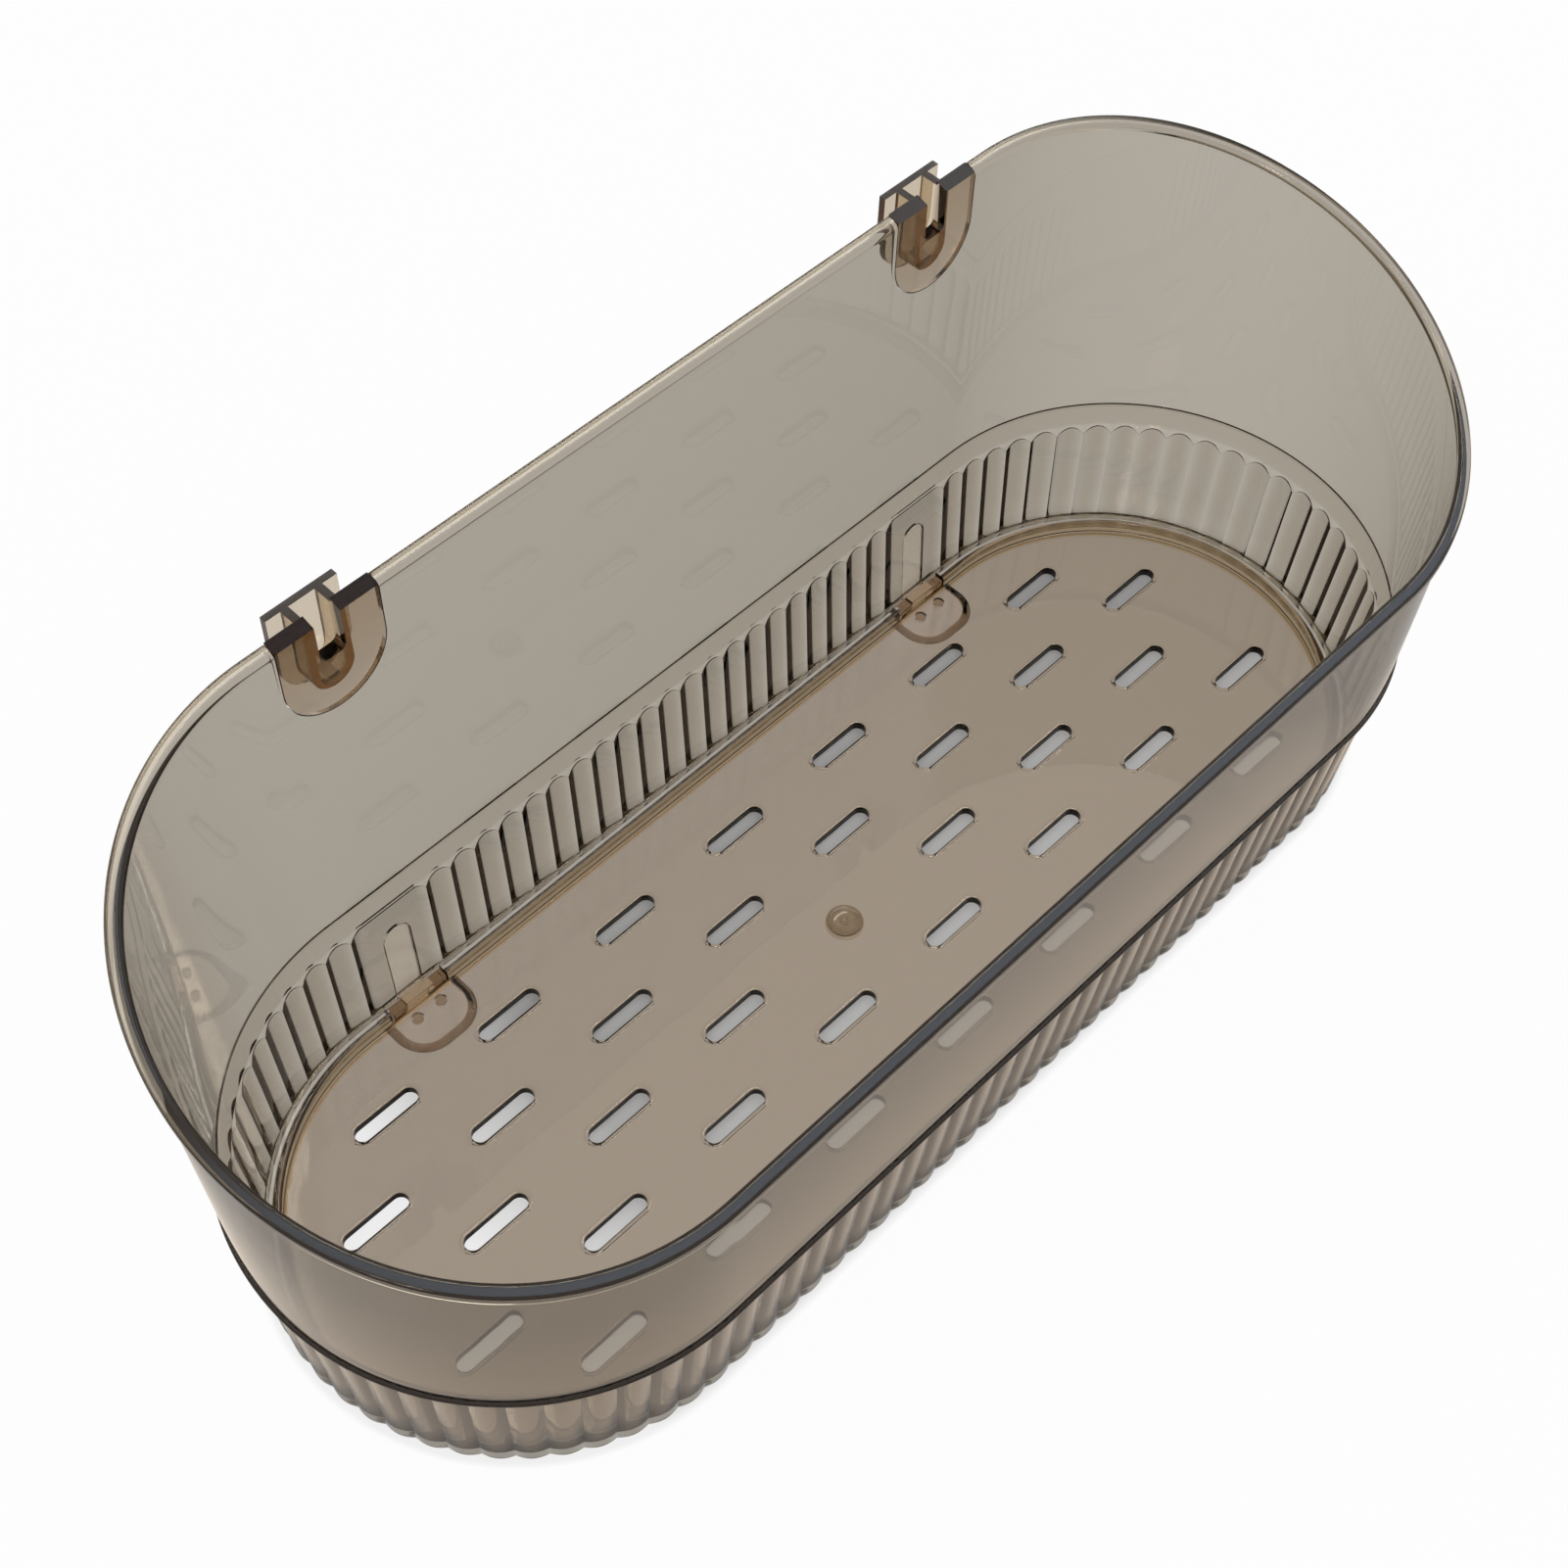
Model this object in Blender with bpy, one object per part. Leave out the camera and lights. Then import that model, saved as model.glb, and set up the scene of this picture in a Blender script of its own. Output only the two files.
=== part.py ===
"""Clear smoke-brown storage basket that hangs on a wall by two rail clips.

Metres, +Z up. +X runs along the basket, +Y points to the wall it hangs on, and the
origin is the middle of the flat underside. Five pieces: the moulded basket, two hanger
clips let into its back rim and two lower clips let into its back foot.
"""
import math

import bmesh
import bpy
from mathutils import Vector

# Plan of the basket: straight sides with half-round ends, taken at the seam.
HALF_STRAIGHT = 0.0889
SEAM_RADIUS = 0.0557
SEAM_HEIGHT = 0.0377
SEAM_ROUND_HEIGHT = 0.0018
SEAM_ROUND_ANGLES = (0, 35, 90)

# Upper wall, smooth, flaring slightly to a rim that slopes down to the front.
UPPER_WALL = 0.0018
UPPER_DRAFT = 0.0175
END_FLARE = 0.0347
RIM_HEIGHT_AT_MIDDLE = 0.09946
RIM_SLOPE = 0.317
RIM_SOLVE_PASSES = 8
LIP_HEIGHT = 0.0025
LIP_PROUD = 0.00095
LIP_INSIDE = 0.0002
LIP_EDGE = 0.0003

# Lower wall, fluted: flutes bulge outward, with sharp valleys between them.
FOOT_INSET = 0.00416
LOWER_DRAFT = 0.071
LOWER_WALL = 0.0018
FLUTE_WIDTH = 0.00635
FLUTE_BULGE = 0.0007
CHANNEL_DEPTH = 0.0005
FLUTE_STEPS = 3
FLUTE_ARCH = 0.0018
FLUTE_TOP_GAP = 0.0005
FOOT_CHAMFER = 0.0009

# Shoulder inside, where the upper wall steps in to the fluted wall.
SHOULDER_TOP = 0.0369
SHOULDER_BOTTOM = 0.03336

# Floor with a raised band round its edge.
FLOOR = 0.0020
BAND_HEIGHT = 0.0032
BAND_WIDTH = 0.0025
BAND_EDGE = 0.0005
FLOOR_FILLET = 0.0010
BAND_FILLET = 0.0006

# Drain slots in a staggered pattern, and the round moulding boss in the middle.
SLOT_LENGTH = 0.0154
SLOT_WIDTH = 0.0036
SLOT_PITCH = 0.0325
SLOT_MARGIN = 0.0065
SLOT_END_STEPS = 6
BOSS_DIAMETER = 0.0077
BOSS_HEIGHT = 0.0004
BOSS_CLEARANCE = 0.0030

# Gap between pieces that touch.
FIT = 0.0003

# Hanger clips, one at each end of the straight back.
FITTING_INSET = 0.0132
CLIP_WIDTH = 0.0220
CLIP_DEPTH = 0.0226
CLIP_TONGUE = 0.0006
CLIP_TONGUE_THICKNESS = 0.0005
CLIP_ARC_STEPS = 12
NOTCH_WIDTH = 0.0056
NOTCH_DEPTH = 0.0100
LEG_THICKNESS = 0.0023
RAIL_GAP = 0.0049
RAIL_THICKNESS = 0.0015
RAIL_WIDTH = 0.0153
RAIL_DROP = 0.0006
RAIL_DEPTH = 0.0197
RAIL_CORNER = 0.0070
NOTCH_CORNER = 0.0015
HOUSING_DEPTH = 0.0184
HOUSING_FLOOR = 0.0018

# Smooth pad in place of the flutes below each hanger clip.
PAD_WIDTH = 0.01905
PAD_EDGE = 0.25

# Lower clips: a foot under the floor, a neck through the skirt, a tongue up the pad.
TONGUE_WIDTH = 0.0065
TONGUE_THICKNESS = 0.0010
TONGUE_HEIGHT = 0.0245
NECK_WIDTH = 0.0138
NECK_HEIGHT = 0.0029
NECK_END_DROP = 0.0008
NECK_MIDDLE_WIDTH = 0.0070
FOOT_PLATE_WIDTH = 0.0150
FOOT_PLATE_LENGTH = 0.0090
FOOT_PLATE_CORNER = 0.0055
FOOT_PLATE_THICKNESS = 0.0008
FOOT_PLATE_RAISE = 0.0002
PIN_DIAMETER = 0.0023
PIN_SPACING = 0.0061
PIN_INSET = 0.00226
PIN_BELOW_FLOOR = 0.0002
PIN_SIDES = 12

# Clear tinted plastic.
SMOKE_BROWN = (0.42, 0.36, 0.29, 1.0)
SMOKE_DARK = (0.30, 0.23, 0.17, 1.0)
PLASTIC_ROUGHNESS = 0.08
PLASTIC_IOR = 1.52
PLASTIC_CLEARNESS = 0.9
SMOOTH_ANGLE = 30

# How far a cutter reaches past what it cuts.
OVERSHOOT = 0.004

FOOT_RADIUS = SEAM_RADIUS - FOOT_INSET
FITTING_X = HALF_STRAIGHT - FITTING_INSET
SIDE_FLUTES = 2 * round(HALF_STRAIGHT / FLUTE_WIDTH)
END_FLUTES = 2 * round(math.pi * (FOOT_RADIUS + LOWER_DRAFT * SEAM_HEIGHT) / FLUTE_WIDTH / 2)
ALL_FLUTES = 2 * (SIDE_FLUTES + END_FLUTES)
FLUTE_PITCH = 2 * HALF_STRAIGHT / SIDE_FLUTES


def plan_point(station, half, radius):
    """Point and outward direction on the plan, counted in flutes from the middle of the back."""
    station = (station + SIDE_FLUTES / 2) % ALL_FLUTES
    if station < SIDE_FLUTES:
        return half * (2 * station / SIDE_FLUTES - 1), radius, 0.0, 1.0
    station -= SIDE_FLUTES
    if station < END_FLUTES:
        angle = math.pi / 2 - math.pi * station / END_FLUTES
        return half + radius * math.cos(angle), radius * math.sin(angle), math.cos(angle), math.sin(angle)
    station -= END_FLUTES
    if station < SIDE_FLUTES:
        return half * (1 - 2 * station / SIDE_FLUTES), -radius, 0.0, -1.0
    station -= SIDE_FLUTES
    angle = -math.pi / 2 - math.pi * station / END_FLUTES
    return -half + radius * math.cos(angle), radius * math.sin(angle), math.cos(angle), math.sin(angle)


def upper_radius(z):
    return SEAM_RADIUS + UPPER_DRAFT * (z - SEAM_HEIGHT)


def upper_half(z):
    return HALF_STRAIGHT + END_FLARE * max(z - SEAM_HEIGHT, 0.0)


def valley_radius(z):
    return FOOT_RADIUS + LOWER_DRAFT * z


def rim_height(y):
    return RIM_HEIGHT_AT_MIDDLE + RIM_SLOPE * y


def on_rim(drop, inset, station):
    """Point a given drop below the sloping rim plane and a given inset from the upper wall."""
    z = RIM_HEIGHT_AT_MIDDLE
    for _ in range(RIM_SOLVE_PASSES):
        x, y, _, _ = plan_point(station, upper_half(z), upper_radius(z) - inset)
        z = rim_height(y) - drop
    return Vector((x, y, z))


def pad_edges():
    """Stations of the two valleys that bound each pad, on the right-hand half of the back."""
    first = round((FITTING_X - PAD_WIDTH / 2) / FLUTE_PITCH - 0.5) + 0.5
    return first, first + max(round(PAD_WIDTH / FLUTE_PITCH), 1)


def bulge(station):
    """Height of a flute over its valleys, from 0 to 1; a pad is one wide flat flute."""
    wrapped = (station + ALL_FLUTES / 2) % ALL_FLUTES - ALL_FLUTES / 2
    first, last = pad_edges()
    if first + PAD_EDGE < abs(wrapped) < last - PAD_EDGE:
        return 1.0
    across = (station + 0.5) % 1.0 - 0.5
    return 1.0 - (2 * across) ** 2


def level_ring(bm, z, radius, half=HALF_STRAIGHT):
    """Smooth level ring with one vertex in each valley."""
    points = [plan_point(i - 0.5, half, radius) for i in range(ALL_FLUTES)]
    return [bm.verts.new((x, y, z)) for x, y, _, _ in points]


def rim_ring(bm, drop, inset):
    return [bm.verts.new(on_rim(drop, inset, i - 0.5)) for i in range(ALL_FLUTES)]


def fluted_ring(bm, z, arch, radius_at, depth):
    """Fluted ring; arch lowers or lifts the valleys against the middles of the flutes."""
    ring = []
    for i in range(ALL_FLUTES * FLUTE_STEPS):
        station = i / FLUTE_STEPS - 0.5
        height = bulge(station)
        z_here = z - arch * (1 - height)
        x, y, _, _ = plan_point(station, HALF_STRAIGHT, radius_at(z_here) + depth * height)
        ring.append(bm.verts.new((x, y, z_here)))
    return ring


def bridge(bm, first, second):
    """Faces between two closed rings, where one may have several vertices to the other's one."""
    if len(first) > len(second):
        first, second = second, first
    steps = len(second) // len(first)
    count = len(first)
    for i in range(count):
        a, b = first[i], first[(i + 1) % count]
        fan = [second[(i * steps + k) % len(second)] for k in range(steps + 1)]
        if steps == 1:
            bm.faces.new((a, b, fan[1], fan[0]))
            continue
        middle = (steps + 1) // 2
        for k in range(steps):
            bm.faces.new((a if k < middle else b, fan[k + 1], fan[k]))
        bm.faces.new((a, b, fan[middle]))


def new_object(name, bm):
    bmesh.ops.recalc_face_normals(bm, faces=bm.faces)
    mesh = bpy.data.meshes.new(name)
    bm.to_mesh(mesh)
    bm.free()
    obj = bpy.data.objects.new(name, mesh)
    bpy.context.scene.collection.objects.link(obj)
    return obj


def slab(name, outline, front, rear):
    """Solid with an outline in X and Z, between two faces whose Y is a function of Z."""
    bm = bmesh.new()
    faces = [[bm.verts.new((x, side(z), z)) for x, z in outline] for side in (front, rear)]
    bm.faces.new(faces[0])
    bm.faces.new(faces[1])
    count = len(outline)
    for i in range(count):
        j = (i + 1) % count
        bm.faces.new((faces[0][i], faces[0][j], faces[1][j], faces[1][i]))
    return new_object(name, bm)


def upright(name, outline, bottom, top):
    """Solid with an outline in X and Y between two level faces."""
    bm = bmesh.new()
    low = [bm.verts.new((x, y, bottom)) for x, y in outline]
    high = [bm.verts.new((x, y, top)) for x, y in outline]
    bm.faces.new(low)
    bm.faces.new(high)
    count = len(outline)
    for i in range(count):
        j = (i + 1) % count
        bm.faces.new((low[i], low[j], high[j], high[i]))
    return new_object(name, bm)


def block(name, x, y, z):
    return upright(name, [(x[0], y[0]), (x[1], y[0]), (x[1], y[1]), (x[0], y[1])], z[0], z[1])


def arc(centre, radius, start, end, steps):
    """Points along an arc, angles in degrees."""
    points = []
    for i in range(steps + 1):
        angle = math.radians(start + (end - start) * i / steps)
        points.append((centre[0] + radius * math.cos(angle), centre[1] + radius * math.sin(angle)))
    return points


def u_outline(half_width, top, bottom, radius, steps=CLIP_ARC_STEPS):
    """Outline open upward: straight sides and two round lower corners."""
    left = arc((-half_width + radius, bottom + radius), radius, 180, 270, steps // 2)
    right = arc((half_width - radius, bottom + radius), radius, 270, 360, steps // 2)
    joined = left + (right[1:] if radius >= half_width else right)
    return [(-half_width, top)] + joined + [(half_width, top)]


def combine(target, tool, operation):
    """Apply one boolean with a tool object, then remove the tool."""
    modifier = target.modifiers.new(operation.lower(), "BOOLEAN")
    modifier.operation = operation
    modifier.solver = "EXACT"
    modifier.object = tool
    bpy.context.view_layer.update()
    graph = bpy.context.evaluated_depsgraph_get()
    mesh = bpy.data.meshes.new_from_object(target.evaluated_get(graph))
    old = target.data
    target.modifiers.clear()
    target.data = mesh
    bpy.data.meshes.remove(old)
    tool_mesh = tool.data
    bpy.data.objects.remove(tool)
    bpy.data.meshes.remove(tool_mesh)


def plastic(name, colour):
    """Clear tinted moulded plastic."""
    material = bpy.data.materials.new(name)
    material.use_nodes = True
    shader = material.node_tree.nodes["Principled BSDF"]
    shader.inputs["Base Color"].default_value = colour
    shader.inputs["Roughness"].default_value = PLASTIC_ROUGHNESS
    shader.inputs["IOR"].default_value = PLASTIC_IOR
    shader.inputs["Transmission Weight"].default_value = PLASTIC_CLEARNESS
    return material


def finish(obj, name, material):
    obj.name = name
    obj.data.name = name
    obj.data.materials.clear()
    obj.data.materials.append(material)
    obj.data.shade_smooth()
    obj.data.set_sharp_from_angle(angle=math.radians(SMOOTH_ANGLE))


def basket_shell():
    """The basket as one skin of rings, from the foot up, over the rim and down inside."""
    bm = bmesh.new()
    flute_top = SEAM_HEIGHT - FLUTE_TOP_GAP
    crest = valley_radius(SEAM_HEIGHT) + FLUTE_BULGE
    overhang = SEAM_RADIUS - crest
    rings = [level_ring(bm, 0.0, FOOT_RADIUS - FOOT_CHAMFER)]
    rings.append(fluted_ring(bm, FOOT_CHAMFER, 0.0, valley_radius, FLUTE_BULGE))
    rings.append(fluted_ring(bm, flute_top, FLUTE_ARCH, valley_radius, FLUTE_BULGE))
    for degrees in SEAM_ROUND_ANGLES:
        angle = math.radians(degrees)
        z = SEAM_HEIGHT + SEAM_ROUND_HEIGHT * (1 - math.cos(angle))
        rings.append(level_ring(bm, z, crest + overhang * math.sin(angle), upper_half(z)))
    rings.append(rim_ring(bm, LIP_HEIGHT, 0.0))
    rings.append(rim_ring(bm, LIP_HEIGHT - LIP_EDGE, -LIP_PROUD))
    rings.append(rim_ring(bm, LIP_EDGE, -LIP_PROUD))
    rings.append(rim_ring(bm, 0.0, LIP_EDGE - LIP_PROUD))
    rings.append(rim_ring(bm, 0.0, UPPER_WALL + LIP_INSIDE - LIP_EDGE))
    rings.append(rim_ring(bm, LIP_EDGE, UPPER_WALL + LIP_INSIDE))
    rings.append(rim_ring(bm, LIP_HEIGHT - LIP_EDGE, UPPER_WALL + LIP_INSIDE))
    rings.append(rim_ring(bm, LIP_HEIGHT, UPPER_WALL))

    def ridge_radius(z):
        return valley_radius(z) - LOWER_WALL

    inside = upper_radius(SHOULDER_TOP) - UPPER_WALL
    band_top = FLOOR + BAND_HEIGHT
    channel_bottom = band_top + 2 * BAND_FILLET
    rings.append(level_ring(bm, SHOULDER_TOP, inside, upper_half(SHOULDER_TOP)))
    rings.append(level_ring(bm, SHOULDER_BOTTOM, ridge_radius(SHOULDER_BOTTOM)))
    channel_top = SHOULDER_BOTTOM - FLUTE_TOP_GAP
    rings.append(fluted_ring(bm, channel_top, FLUTE_ARCH, ridge_radius, CHANNEL_DEPTH))
    rings.append(fluted_ring(bm, channel_bottom, -FLUTE_ARCH / 2, ridge_radius, CHANNEL_DEPTH))
    band_outer = ridge_radius(band_top)
    band_inner = band_outer - BAND_FILLET - BAND_WIDTH
    rings.append(level_ring(bm, band_top + BAND_FILLET, ridge_radius(band_top + BAND_FILLET)))
    rings.append(level_ring(bm, band_top, band_outer - BAND_FILLET))
    rings.append(level_ring(bm, band_top, band_inner + BAND_EDGE))
    rings.append(level_ring(bm, band_top - BAND_EDGE, band_inner))
    rings.append(level_ring(bm, FLOOR + FLOOR_FILLET, band_inner))
    rings.append(level_ring(bm, FLOOR, band_inner - FLOOR_FILLET))
    for first, second in zip(rings, rings[1:]):
        bridge(bm, first, second)
    bm.faces.new(rings[0])
    bm.faces.new(rings[-1])
    return new_object("basket", bm)


def floor_radius():
    """Radius of the flat of the floor at the ends."""
    band_top = FLOOR + BAND_HEIGHT
    return valley_radius(band_top) - LOWER_WALL - BAND_FILLET - BAND_WIDTH - FLOOR_FILLET


def slot_centres():
    """Staggered slots that fit on the floor and leave the boss free."""
    row_pitch = SLOT_PITCH / 2
    limit = floor_radius() - SLOT_MARGIN
    rows = int(limit / row_pitch)
    columns = int((HALF_STRAIGHT + limit) / SLOT_PITCH) + 1
    centres = []
    for row in range(-rows, rows + 1):
        shift = 0.5 if row % 2 else 0.0
        for column in range(-columns, columns + 1):
            x = (column + shift) * SLOT_PITCH
            y = row * row_pitch
            past_straight = max(abs(x) + (SLOT_LENGTH - SLOT_WIDTH) / 2 - HALF_STRAIGHT, 0.0)
            reach = math.hypot(past_straight, y) + SLOT_WIDTH / 2
            clear_of_boss = math.hypot(x, y) > (SLOT_LENGTH + BOSS_DIAMETER) / 2 + BOSS_CLEARANCE
            if reach < limit and clear_of_boss:
                centres.append((x, y))
    return centres


def slot_outline(x, y):
    radius = SLOT_WIDTH / 2
    offset = SLOT_LENGTH / 2 - radius
    right = arc((x + offset, y), radius, -90, 90, SLOT_END_STEPS)
    left = arc((x - offset, y), radius, 90, 270, SLOT_END_STEPS)
    return right + left


def joined_slots():
    """All the slot cutters as separate bodies in one mesh."""
    bm = bmesh.new()
    for x, y in slot_centres():
        outline = slot_outline(x, y)
        low = [bm.verts.new((px, py, -OVERSHOOT)) for px, py in outline]
        high = [bm.verts.new((px, py, FLOOR + OVERSHOOT)) for px, py in outline]
        bm.faces.new(low)
        bm.faces.new(high)
        for i in range(len(outline)):
            j = (i + 1) % len(outline)
            bm.faces.new((low[i], low[j], high[j], high[i]))
    return new_object("slots", bm)


def shifted(outline, x):
    return [(px + x, py) for px, py in outline]


def clip_top():
    """Height of the rim plane at the outer face of the straight back."""
    return on_rim(0.0, 0.0, 0.0).z


def clip_outline(grow):
    half = CLIP_WIDTH / 2 + grow
    bottom = clip_top() - CLIP_DEPTH - grow
    return u_outline(half, clip_top() + OVERSHOOT, bottom, half)


def hanger_seat_cutters(x):
    """Opening for a hanger clip's plate, and the groove that its tongue slides down."""
    through = slab("seat", shifted(clip_outline(FIT), x),
                   lambda z: upper_radius(z) - UPPER_WALL - OVERSHOOT,
                   lambda z: upper_radius(z) + OVERSHOOT)
    reach = CLIP_TONGUE_THICKNESS / 2 + FIT
    groove = slab("groove", shifted(clip_outline(FIT + CLIP_TONGUE), x),
                  lambda z: upper_radius(z) - UPPER_WALL / 2 - reach,
                  lambda z: upper_radius(z) - UPPER_WALL / 2 + reach)
    return through, groove


def pad_radius(z):
    return valley_radius(z) + FLUTE_BULGE


def tongue_outline(grow, bottom):
    half = TONGUE_WIDTH / 2 + grow
    top = TONGUE_HEIGHT + grow
    return [(-half, bottom)] + arc((0, top - half), half, 180, 0, CLIP_ARC_STEPS) + [(half, bottom)]


def foot_plate_outline(grow):
    """D-shaped foot, round toward the middle of the floor."""
    half = FOOT_PLATE_WIDTH / 2 + grow
    back = neck_front() + FIT
    return u_outline(half, back + grow, back - FOOT_PLATE_LENGTH - grow, FOOT_PLATE_CORNER + grow)


def neck_front():
    """Front of the neck's seat, just behind the flat of the floor."""
    return floor_radius() + FLOOR_FILLET


def pin_centre():
    return neck_front() - PIN_INSET


def neck_back():
    return valley_radius(0.0) - LOWER_WALL


def lower_seat_cutters(x):
    """Pocket for the foot, notch for the neck, slot through the skirt and recess in the pad."""
    pocket_top = FOOT_PLATE_RAISE + FOOT_PLATE_THICKNESS + FIT
    half = NECK_WIDTH / 2 + FIT
    yield upright("pocket", shifted(foot_plate_outline(FIT), x), -OVERSHOOT, pocket_top)
    band_over = FLOOR + BAND_HEIGHT + OVERSHOOT
    sides = (x - half, x + half)
    yield block("notch", sides, (neck_front(), neck_back()), (-OVERSHOOT, band_over))
    yield block("doorway", sides, (neck_back() - FIT, SEAM_RADIUS), (-OVERSHOOT, NECK_HEIGHT + FIT))
    yield slab("recess", shifted(tongue_outline(FIT, -OVERSHOOT), x),
               lambda z: pad_radius(z) - TONGUE_THICKNESS - FIT,
               lambda z: pad_radius(z) + OVERSHOOT)
    for side in (-1, 1):
        hole = arc((x + side * PIN_SPACING / 2, pin_centre()), PIN_DIAMETER / 2 + FIT, 0, 360, PIN_SIDES)[:-1]
        yield upright("hole", hole, -OVERSHOOT, FLOOR + OVERSHOOT)


def make_basket(material):
    basket = basket_shell()
    boss = upright("boss", arc((0, 0), BOSS_DIAMETER / 2, 0, 360, 2 * CLIP_ARC_STEPS)[:-1],
                   FLOOR / 2, FLOOR + BOSS_HEIGHT)
    combine(basket, boss, "UNION")
    combine(basket, joined_slots(), "DIFFERENCE")
    for x in (-FITTING_X, FITTING_X):
        for cutter in hanger_seat_cutters(x):
            combine(basket, cutter, "DIFFERENCE")
        for cutter in lower_seat_cutters(x):
            combine(basket, cutter, "DIFFERENCE")
    finish(basket, "basket", material)


def rim_cutter():
    """Everything above the sloping rim plane, over a clip."""
    reach = CLIP_WIDTH
    bm = bmesh.new()
    corners = []
    for y in (SEAM_RADIUS - reach, SEAM_RADIUS + reach):
        for x in (-reach, reach):
            low = bm.verts.new((x, y, rim_height(y)))
            corners.append((low, bm.verts.new((x, y, rim_height(y) + reach))))
    a, b, c, d = corners
    for side in ((a, b), (b, d), (d, c), (c, a)):
        bm.faces.new((side[0][0], side[1][0], side[1][1], side[0][1]))
    bm.faces.new([corner[0] for corner in (a, b, d, c)])
    bm.faces.new([corner[1] for corner in (a, b, d, c)])
    return new_object("above_rim", bm)


def make_hanger(name, x, material):
    """Plate let into the rim, a hollow housing behind it and the T-shaped rail at the back."""
    top = clip_top()
    above = top + OVERSHOOT
    rail_top = top - RAIL_DROP
    wall_mid = UPPER_WALL / 2
    plate = slab(name, clip_outline(0.0), lambda z: upper_radius(z) - UPPER_WALL, upper_radius)
    tongue = slab("tongue", clip_outline(CLIP_TONGUE),
                  lambda z: upper_radius(z) - wall_mid - CLIP_TONGUE_THICKNESS / 2,
                  lambda z: upper_radius(z) - wall_mid + CLIP_TONGUE_THICKNESS / 2)
    combine(plate, tongue, "UNION")
    half = CLIP_WIDTH / 2
    lip_bottom = top - LIP_HEIGHT
    lip = slab("lip", [(-half, lip_bottom), (half, lip_bottom), (half, above), (-half, above)],
               lambda z: upper_radius(z) - wall_mid, lambda z: upper_radius(z) + LIP_PROUD)
    combine(plate, lip, "UNION")
    rail_front = upper_radius(top) + RAIL_GAP
    rail_rear = rail_front + RAIL_THICKNESS
    housing_half = NOTCH_WIDTH / 2 + LEG_THICKNESS
    housing = slab("housing", u_outline(housing_half, rail_top, top - HOUSING_DEPTH, housing_half),
                   lambda z: upper_radius(z) - wall_mid, lambda z: rail_front + RAIL_THICKNESS / 2)
    combine(plate, housing, "UNION")
    rail = slab("rail", u_outline(RAIL_WIDTH / 2, rail_top, top - RAIL_DEPTH, RAIL_CORNER),
                lambda z: rail_front, lambda z: rail_rear)
    combine(plate, rail, "UNION")
    cavity_half = NOTCH_WIDTH / 2
    cavity = slab("cavity", u_outline(cavity_half, above, top - HOUSING_DEPTH + HOUSING_FLOOR, cavity_half),
                  upper_radius, lambda z: rail_front)
    combine(plate, cavity, "DIFFERENCE")
    notch = slab("notch", u_outline(cavity_half, above, top - NOTCH_DEPTH, NOTCH_CORNER),
                 lambda z: upper_radius(z) - UPPER_WALL - OVERSHOOT,
                 lambda z: upper_radius(z) + FIT)
    combine(plate, notch, "DIFFERENCE")
    combine(plate, rim_cutter(), "DIFFERENCE")
    plate.location.x = x
    finish(plate, name, material)


def make_lower_clip(name, x, material):
    """One moulding: foot plate with two pins, neck block and the tongue up the pad."""
    low = FOOT_PLATE_RAISE
    foot_top = low + FOOT_PLATE_THICKNESS
    half = NECK_WIDTH / 2
    front = neck_front() + FIT
    back = neck_back() - FIT
    band_top = FLOOR + BAND_HEIGHT
    foot = upright(name, foot_plate_outline(0.0), low, foot_top)
    combine(foot, block("neck", (-half, half), (front, back), (low, band_top - NECK_END_DROP)), "UNION")
    middle = NECK_MIDDLE_WIDTH / 2
    combine(foot, block("middle", (-middle, middle), (front, back), (low, band_top)), "UNION")
    sill = slab("sill", [(-half, low), (half, low), (half, NECK_HEIGHT), (-half, NECK_HEIGHT)],
                lambda z: back - FIT, lambda z: pad_radius(z) - FOOT_CHAMFER)
    combine(foot, sill, "UNION")
    tongue = slab("tongue", tongue_outline(0.0, low),
                  lambda z: pad_radius(z) - TONGUE_THICKNESS, pad_radius)
    combine(foot, tongue, "UNION")
    for side in (-1, 1):
        ring = arc((side * PIN_SPACING / 2, pin_centre()), PIN_DIAMETER / 2, 0, 360, PIN_SIDES)[:-1]
        combine(foot, upright("pin", ring, low + FIT, FLOOR - PIN_BELOW_FLOOR), "UNION")
    foot.location.x = x
    finish(foot, name, material)


for old_object in list(bpy.data.objects):
    bpy.data.objects.remove(old_object, do_unlink=True)

make_basket(plastic("basket_plastic", SMOKE_BROWN))
make_hanger("left_hanger", -FITTING_X, plastic("left_hanger_plastic", SMOKE_DARK))
make_hanger("right_hanger", FITTING_X, plastic("right_hanger_plastic", SMOKE_DARK))
make_lower_clip("left_lower_clip", -FITTING_X, plastic("left_lower_clip_plastic", SMOKE_DARK))
make_lower_clip("right_lower_clip", FITTING_X, plastic("right_lower_clip_plastic", SMOKE_DARK))
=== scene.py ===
import math

import bmesh
import bpy
import numpy as np
from mathutils import Matrix


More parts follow.
